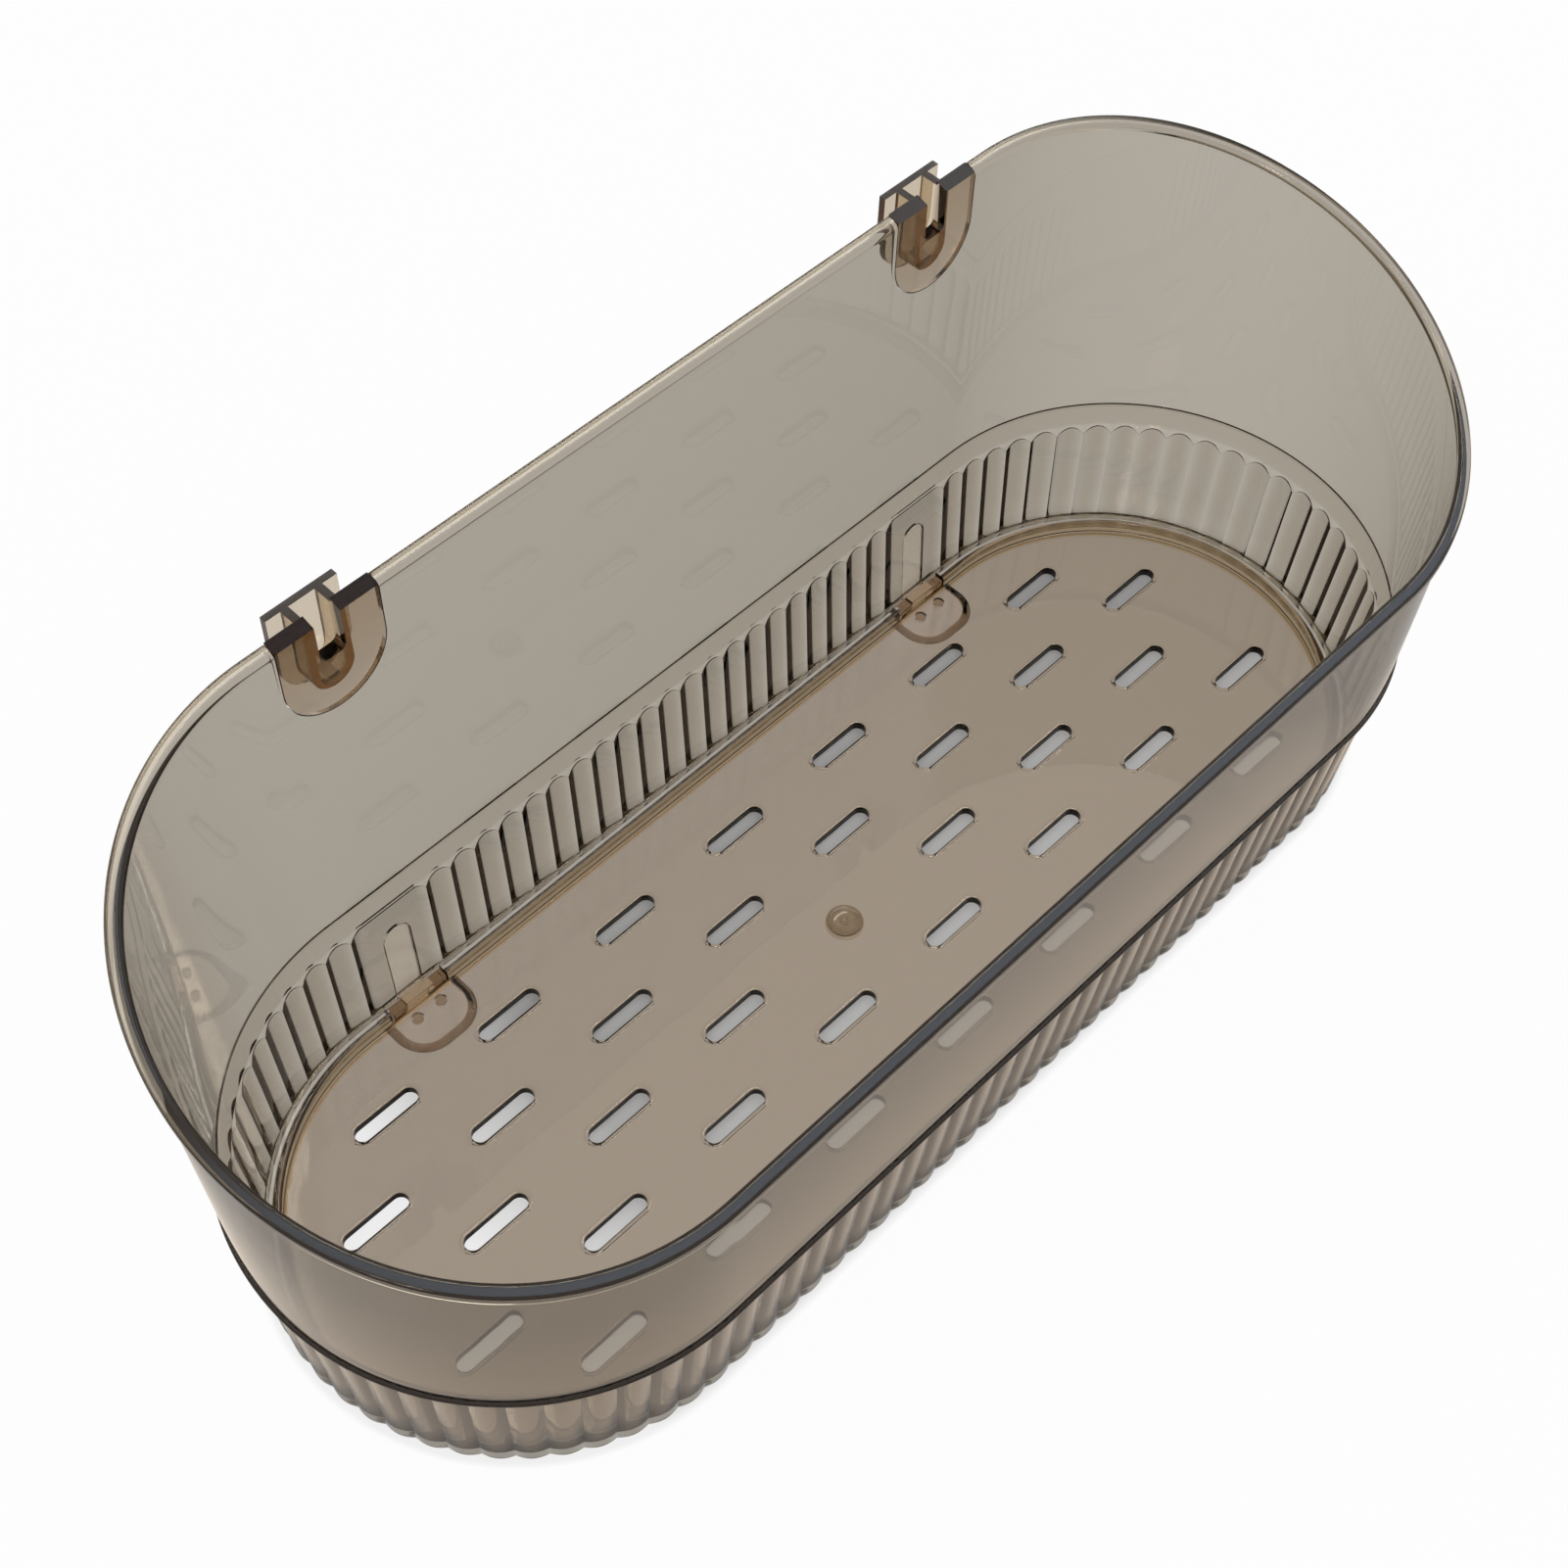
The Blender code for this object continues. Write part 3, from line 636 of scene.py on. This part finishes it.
def flat_distance(tree, x, y):
    """The distance from the origin to a place in plan."""
    flat = tree.nodes.new("ShaderNodeCombineXYZ")
    tree.links.new(x, flat.inputs["X"])
    tree.links.new(y, flat.inputs["Y"])
    distance = tree.nodes.new("ShaderNodeVectorMath")
    distance.operation = "LENGTH"
    tree.links.new(flat.outputs["Vector"], distance.inputs[0])
    return distance.outputs["Value"]


def from_middle_line(tree, place):
    """The distance in plan from the line along the middle of the basket."""
    past_end = reckon(tree, "SUBTRACT", reckon(tree, "ABSOLUTE", place["X"]), STRAIGHT_HALF)
    return flat_distance(tree, reckon(tree, "MAXIMUM", past_end, 0), place["Y"])


def basket_plastic():
    plastic = smoke_plastic("smoke_brown_plastic", SMOKE_BROWN, SMOKE_DENSITY, SMOKE_ROUGHNESS)
    tree = plastic.node_tree
    place = place_on(tree)
    from_line = from_middle_line(tree, place)
    over_ledge = graded(tree, from_line, band_inner - LEDGE_REACH, band_inner + LEDGE_REACH)
    # Painted warm light on the floor, a painted gold highlight at the foot of the ledge and painted brown
    # shade on its step.
    tint = coloured(tree, over_ledge, (0.2, FLOOR_PAINTED_WARM_LIGHT), (0.25, LEDGE_PAINTED_HIGHLIGHT), (0.40, LEDGE_PAINTED_HIGHLIGHT),
                    (0.46, LEDGE_PAINTED_SHADE), (0.85, LEDGE_PAINTED_SHADE), (1.0, CLEAR))
    from_centre = flat_distance(tree, place["X"], place["Y"])
    on_boss = reckon(tree, "LESS_THAN", from_centre, BOSS_RADIUS + BOSS_MARGIN)
    with_boss = blended(tree, on_boss, tint, BOSS_BROWN)
    tree.links.new(with_boss, tree.nodes["Principled BSDF"].inputs["Base Color"])
    return plastic


soften(basket)
basket.data.materials.clear()
basket.data.materials.append(basket_plastic())
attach(basket, "root")
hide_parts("basket")

# The hangers: a clip let into each end of the straight back rim. Each is one moulding in
# smoke plastic: a plate let into the wall, a hollow housing and a T-shaped rail behind it.
NOTCH_HALF = 0.0028
NOTCH_DEPTH = 0.0100
NOTCH_CORNER = 0.0015
LEG = 0.0017
RAIL_GAP = 0.0049
RAIL_THICKNESS = 0.0015
RAIL_HALF = 0.00765
RAIL_DROP = 0.0006
RAIL_DEPTH = 0.0197
RAIL_CORNER = 0.0070
HOUSING_DEPTH = 0.0184
HOUSING_FLOOR = 0.0018
HANGER_EDGE = 0.0002
ROUND_FROM = 35
HANGER_BROWN = (0.72, 0.59, 0.38)
HANGER_DENSITY = 600
FITTING_ROUGHNESS = 0.05
PLATE_BACK = 0.0582
HOUSING_START = 0.0584
PLATE_GREY = (0.57, 0.56, 0.58)
PLATE_TOP_PAINTED_SHADE = (0.05, 0.05, 0.06)
PLATE_GLOSS = (1, 0.94, 0.90)
PLATE_TOP_PAINTED_DIM_GLOSS = (0.09, 0.06, 0.06)
LEVEL = 0.9
REAR_TOP_MATT = 0.6


def way_of(tree):
    """The way that each point of the surface faces."""
    return parts_of(tree, tree.nodes.new("ShaderNodeNewGeometry").outputs["True Normal"])


def hanger_plastic():
    """The plate is grey with painted near-black shade and dim gloss on its top edge, and the tops behind
    it are matt.
    """
    plastic = smoke_plastic("hanger_plastic", HANGER_BROWN, HANGER_DENSITY, FITTING_ROUGHNESS)
    tree = plastic.node_tree
    finish = tree.nodes["Principled BSDF"].inputs
    behind = graded(tree, place_on(tree)["Y"], PLATE_BACK, HOUSING_START)
    on_top = reckon(tree, "GREATER_THAN", way_of(tree)["Z"], LEVEL)
    on_plate_top = reckon(tree, "SUBTRACT", on_top, behind, clamp=True)
    on_rear_top = reckon(tree, "MULTIPLY", on_top, behind)
    tint = coloured(tree, behind, (0, PLATE_GREY), (1, CLEAR))
    gloss = finish["Roughness"].links[0].from_socket
    # Painted shade on the plate's top edge: near black in colour and dim in gloss.
    tree.links.new(blended(tree, on_plate_top, PLATE_GLOSS, PLATE_TOP_PAINTED_DIM_GLOSS), finish["Specular Tint"])
    tree.links.new(blended(tree, on_plate_top, tint, PLATE_TOP_PAINTED_SHADE), finish["Base Color"])
    tree.links.new(reckon(tree, "MULTIPLY_ADD", on_rear_top, REAR_TOP_MATT, gloss), finish["Roughness"])
    return plastic


def above_rim():
    """Everything above the sloping rim, over a clip."""
    reach = 2 * PLATE_HALF
    outline = rectangle((-reach, reach), (SEAM_RADIUS - reach, SEAM_RADIUS + reach))
    low_points = [(x, y, RIM_MIDDLE + RIM_SLOPE * y) for x, y in outline]
    return solid_between("above_rim", low_points, [(x, y, z + reach) for x, y, z in low_points])


def round_edges(piece, width, segments):
    modifier = piece.modifiers.new("edges", "BEVEL")
    modifier.width = width
    modifier.segments = segments
    modifier.limit_method = "ANGLE"
    modifier.angle_limit = math.radians(ROUND_FROM)
    modifier.use_clamp_overlap = True


def make_hanger(name, node, x, plastic):
    above = PLATE_TOP + OVERSHOOT
    rail_top = PLATE_TOP - RAIL_DROP
    rail_front = upper_radius(PLATE_TOP) + RAIL_GAP
    rail_rear = rail_front + RAIL_THICKNESS
    housing_half = NOTCH_HALF + LEG
    plate = facing(name, plate_outline(0), lambda z: upper_radius(z) - UPPER_WALL,
                   lambda z: upper_radius(z) + LIP_PROUD * (1 - (PLATE_TOP - z) / PLATE_DEPTH))
    housing = facing("housing", u_shape(housing_half, rail_top, PLATE_TOP - HOUSING_DEPTH, housing_half),
                     lambda z: upper_radius(z) - UPPER_WALL / 2, lambda z: rail_front + RAIL_THICKNESS / 2)
    cut_or_join(plate, housing, "UNION")
    rail = facing("rail", u_shape(RAIL_HALF, rail_top, PLATE_TOP - RAIL_DEPTH, RAIL_CORNER),
                  lambda z: rail_front, lambda z: rail_rear)
    cut_or_join(plate, rail, "UNION")
    cavity_bottom = PLATE_TOP - HOUSING_DEPTH + HOUSING_FLOOR
    cavity = facing("cavity", u_shape(NOTCH_HALF, above, cavity_bottom, NOTCH_HALF),
                    lambda z: upper_radius(z) + LIP_PROUD, lambda z: rail_front)
    cut_or_join(plate, cavity, "DIFFERENCE")
    notch = facing("notch", u_shape(NOTCH_HALF, above, PLATE_TOP - NOTCH_DEPTH, NOTCH_CORNER),
                   lambda z: upper_radius(z) - UPPER_WALL - OVERSHOOT,
                   lambda z: upper_radius(z) + LIP_PROUD + FIT)
    cut_or_join(plate, notch, "DIFFERENCE")
    cut_or_join(plate, above_rim(), "DIFFERENCE")
    round_edges(plate, HANGER_EDGE, 3)
    soften(plate)
    plate.data.transform(Matrix.Translation((x, 0, 0)))
    plate.data.materials.clear()
    plate.data.materials.append(plastic)
    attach(plate, "root")
    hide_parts(node)


plastic_for_hangers = hanger_plastic()
make_hanger("hanger_on_left", "left_hanger", -FITTING_X, plastic_for_hangers)
make_hanger("hanger_on_right", "right_hanger", FITTING_X, plastic_for_hangers)

# The lower clips: small fittings pushed in at the foot of the back wall. Each is one
# moulding in smoke plastic: a D-shaped foot with two pins under the floor, a neck through
# the foot of the wall and a tongue up the pad.
NECK_MIDDLE_HALF = 0.0035
NECK_END_DROP = 0.0008
CLIP_EDGE = 0.00015
CLIP_BROWN = (0.60, 0.42, 0.16)
CLIP_DENSITY = 360
FOOT_GREY = (0.74, 0.72, 0.70)
PAINTED_BROWN_SHADE = (0.22, 0.13, 0.07)
RING_SLOPE = 0.70
RING_SLOPE_RANGE = 0.25
JUST_ABOVE = 0.0001
PIN_REACH = 0.0006
BAR_SHADE = 0.5


def clip_plastic():
    """The foot is grey and the bar clear, with painted brown shade at the ring, the pins and the bar's
    ends.
    """
    plastic = smoke_plastic("lower_clip_plastic", CLIP_BROWN, CLIP_DENSITY, FITTING_ROUGHNESS)
    tree = plastic.node_tree
    place = place_on(tree)
    sloping = reckon(tree, "COMPARE", way_of(tree)["Z"], RING_SLOPE, RING_SLOPE_RANGE)
    low_down = reckon(tree, "LESS_THAN", place["Z"], FOOT_TOP + JUST_ABOVE)
    high_up = reckon(tree, "GREATER_THAN", place["Z"], FOOT_TOP + JUST_ABOVE)
    in_front = reckon(tree, "LESS_THAN", place["Y"], NECK_FRONT - PIN_REACH)
    on_ring = reckon(tree, "MULTIPLY", sloping, low_down)
    on_pins = reckon(tree, "MULTIPLY", high_up, in_front)
    from_fitting = reckon(tree, "SUBTRACT", reckon(tree, "ABSOLUTE", place["X"]), FITTING_X)
    off_middle = reckon(tree, "GREATER_THAN", reckon(tree, "ABSOLUTE", from_fitting), NECK_MIDDLE_HALF)
    on_bar_ends = reckon(tree, "MULTIPLY", high_up, off_middle)
    ring_or_pins = reckon(tree, "MAXIMUM", on_ring, on_pins)
    brown = reckon(tree, "MAXIMUM", ring_or_pins, on_bar_ends)
    shade = reckon(tree, "MAXIMUM", brown, reckon(tree, "MULTIPLY", high_up, BAR_SHADE))
    # Painted brown shade on the ring, the pins and the bar's ends.
    tint = coloured(tree, shade, (0, FOOT_GREY), (BAR_SHADE, CLEAR), (1, PAINTED_BROWN_SHADE))
    tree.links.new(tint, tree.nodes["Principled BSDF"].inputs["Base Color"])
    return plastic


def make_lower_clip(name, node, x, plastic):
    low = FOOT_RAISE
    front, back = NECK_FRONT + FIT, NECK_BACK - FIT
    foot = tapered(name, foot_outline(FOOT_DRAFT), low, foot_outline(0), low + FOOT_THICKNESS)
    neck_outline = rectangle((-NECK_HALF, NECK_HALF), (front, back))
    neck = standing("neck", neck_outline, low, BAND_TOP - NECK_END_DROP)
    cut_or_join(foot, neck, "UNION")
    bar_outline = rectangle((-NECK_MIDDLE_HALF, NECK_MIDDLE_HALF), (front, back))
    bar = standing("bar", bar_outline, low, BAND_TOP)
    cut_or_join(foot, bar, "UNION")
    sill = facing("sill", rectangle((-NECK_HALF, NECK_HALF), (low, NECK_TOP)),
                  lambda z: back - FIT, lambda z: pad_radius(z) - FOOT_ROUND)
    cut_or_join(foot, sill, "UNION")
    tongue = facing("tongue", arch_shape(TONGUE_HALF, low, TONGUE_TOP),
                    lambda z: pad_radius(z) - TONGUE_THICKNESS, pad_radius)
    cut_or_join(foot, tongue, "UNION")
    for side in (-1, 1):
        pin = curve((side * PIN_OFFSET, PIN_Y), PIN_RADIUS, 0, 360)[:-1]
        cut_or_join(foot, standing("pin", pin, low + FIT, FLOOR - FOOT_RAISE), "UNION")
    round_edges(foot, CLIP_EDGE, 2)
    soften(foot)
    foot.data.transform(Matrix.Translation((x, 0, 0)))
    foot.data.materials.clear()
    foot.data.materials.append(plastic)
    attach(foot, "root")
    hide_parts(node)


plastic_for_clips = clip_plastic()
make_lower_clip("lower_clip_on_left", "left_lower_clip", -FITTING_X, plastic_for_clips)
make_lower_clip("lower_clip_on_right", "right_lower_clip", FITTING_X, plastic_for_clips)

# The stage: a sheet of white paper that the basket stands on, in an even white room. It
# looks white to the camera, and beneath the basket it is partly really shaded and partly painted darker by
# place.
STAGE_HALF = 3
STAGE_DROP = 0.0004
PAPER_GREY = 0.55
PAPER_ROUGHNESS = 0.9
ROOM_STRENGTH = 1.05
PLAIN_WHITE = (1, 1, 1)
PAINTED_WARM_REFLECTION = (1, 0.87, 0.74)
PAINTED_DARK_REFLECTION = (0, 0, 0)
PAINTED_FAR_REFLECTION = (0.18, 0.18, 0.18)
PAINTED_NEAR_REFLECTION = (0.85, 0.85, 0.85)

# Each grade of the paper: where it starts and ends, and the share of full white at each.
IN_FROM_FRONT = (-0.045, 0.03, 0.30, 0.04)
IN_FROM_LEFT = (-0.105, -0.062, 0.80, 0.06)
OUT_FROM_FOOT = (0.047, 0.054, 0, 0.97)
THROUGH_PLASTIC = (0.047, 0.060, 0.62, 0.80)
REFLECTION_START = 0.050
REFLECTION_END = 0.080


def white_paper():
    """Matt paper that takes the shadow, with a share of plain white light for each kind of ray, set by
    place to paint shade and reflections.
    """
    material = bpy.data.materials.new("white_paper")
    material.use_nodes = True
    tree = material.node_tree
    surface = tree.nodes["Principled BSDF"]
    surface.inputs["Base Color"].default_value = (PAPER_GREY, PAPER_GREY, PAPER_GREY, 1)
    surface.inputs["Roughness"].default_value = PAPER_ROUGHNESS
    surface.inputs["Specular IOR Level"].default_value = 0.0
    bright = tree.nodes.new("ShaderNodeEmission")
    bright.inputs["Strength"].default_value = 1.0
    ray = tree.nodes.new("ShaderNodeLightPath").outputs
    place = place_on(tree)
    from_line = from_middle_line(tree, place)

    # The camera sees white paper outside. Beneath the basket it shows its real shading under a
    # share of plain white set by place, which paints more light in front and at the left end.
    from_front = graded(tree, place["Y"], *IN_FROM_FRONT)
    from_left = graded(tree, place["X"], *IN_FROM_LEFT)
    outside = graded(tree, from_line, *OUT_FROM_FOOT)
    seen = reckon(tree, "MAXIMUM", outside, reckon(tree, "MAXIMUM", from_front, from_left))

    # Reflections show a painted reflection of the paper in warm white: dark under the basket, bright near
    # its wall and dim beyond.
    away = graded(tree, from_line, REFLECTION_START, REFLECTION_END)
    painted_reflection = coloured(tree, away, (0.1, PAINTED_DARK_REFLECTION), (0.2, PAINTED_NEAR_REFLECTION), (0.4, PAINTED_NEAR_REFLECTION), (1, PAINTED_FAR_REFLECTION))
    mirrored = reckon(tree, "SUBTRACT", ray["Is Glossy Ray"], ray["Is Transmission Ray"], clamp=True)
    tree.links.new(blended(tree, mirrored, PLAIN_WHITE, PAINTED_WARM_REFLECTION), bright.inputs["Color"])

    # Through the plastic the paper is painted a little darker beneath the basket than beyond it.
    through = graded(tree, from_line, *THROUGH_PLASTIC)
    camera_share = reckon(tree, "MULTIPLY", ray["Is Camera Ray"], seen)
    glossy_share = reckon(tree, "MULTIPLY", ray["Is Glossy Ray"], painted_reflection)
    clear_share = reckon(tree, "MULTIPLY", ray["Is Transmission Ray"], through)
    share = reckon(tree, "MAXIMUM", reckon(tree, "MAXIMUM", camera_share, glossy_share), clear_share)
    blend = tree.nodes.new("ShaderNodeMixShader")
    tree.links.new(share, blend.inputs["Fac"])
    tree.links.new(surface.outputs["BSDF"], blend.inputs[1])
    tree.links.new(bright.outputs["Emission"], blend.inputs[2])
    tree.links.new(blend.outputs["Shader"], tree.nodes["Material Output"].inputs["Surface"])
    return material


sheet = bmesh.new()
for x, y in rectangle((-STAGE_HALF, STAGE_HALF), (-STAGE_HALF, STAGE_HALF)):
    sheet.verts.new((x, y, -STAGE_DROP))
sheet.faces.new(sheet.verts)
stage = new_piece("white_sweep", sheet)
stage.data.materials.append(white_paper())

room = bpy.data.worlds.new("white_room")
room.use_nodes = True
room.node_tree.nodes["Background"].inputs["Color"].default_value = (*PLAIN_WHITE, 1)
room.node_tree.nodes["Background"].inputs["Strength"].default_value = ROOM_STRENGTH
bpy.context.scene.world = room

# The lamps: softboxes overhead give the rim its cream and blue-grey lines, and one at the
# left lights the curve of the wall. They show in the gloss and add nothing to the paper.
SOFT_EDGE = 0.19
COOL_BLUE = (0.38, 0.62, 1)
PALE_GREEN = (0.92, 1, 0.96)


def softbox(name, place, turned, width, length, brightness, colour):
    """A rectangular lamp that fades out towards its edges. It is turned by angles in degrees."""
    lamp = bpy.data.lights.new(name, "AREA")
    lamp.shape = "RECTANGLE"
    lamp.size, lamp.size_y = width, length
    lamp.energy = brightness * math.pi * width * length
    lamp.color = colour
    lamp.use_nodes = True
    tree = lamp.node_tree
    across_lamp = parts_of(tree, tree.nodes.new("ShaderNodeNewGeometry").outputs["Parametric"])
    fades = []
    for side in ("X", "Y"):
        other_way = reckon(tree, "SUBTRACT", 1, across_lamp[side])
        fade = graded(tree, reckon(tree, "MULTIPLY", across_lamp[side], other_way), 0, SOFT_EDGE)
        fade.node.interpolation_type = "SMOOTHSTEP"
        fades.append(fade)
    tree.links.new(reckon(tree, "MULTIPLY", *fades), tree.nodes["Emission"].inputs["Strength"])
    box = bpy.data.objects.new(name, lamp)
    box.location = place
    box.rotation_euler = [math.radians(angle) for angle in turned]
    box.visible_diffuse = False
    bpy.context.scene.collection.objects.link(box)


softbox("overhead_strip", (0.55, -0.31, 1.10), (0, 0, 0), 1.5, 0.42, 2.3, COOL_BLUE)
softbox("back_strip", (0.50, 0.09, 1.10), (0, 0, 0), 1.2, 0.22, 7, PALE_GREEN)
softbox("left_panel", (0.04, -0.04, 1.10), (0, 0, 0), 0.40, 0.36, 4, PALE_GREEN)
softbox("side_softbox", (-0.65, -0.65, 0.77), (50, 0, -45), 0.25, 0.25, 10, PLAIN_WHITE)

# The camera stands above the left end of the basket and looks down along it, and the light
# passes through enough walls to leave no black spots in the plastic.
lens = bpy.data.cameras.new("view_from_above_left")
lens.lens = 55.18
lens.sensor_width = 36
lens.clip_start = 0.01
viewpoint = bpy.data.objects.new("view_from_above_left", lens)
viewpoint.location = (-0.21196, -0.17021, 0.42816)
viewpoint.rotation_euler = (math.radians(35.6301), math.radians(-1.8180), math.radians(-45.6857))
bpy.context.scene.collection.objects.link(viewpoint)
bpy.context.scene.camera = viewpoint
bpy.context.scene.view_settings.view_transform = "Standard"
bpy.context.scene.cycles.max_bounces = 32
bpy.context.scene.cycles.glossy_bounces = 24
bpy.context.scene.cycles.transmission_bounces = 24
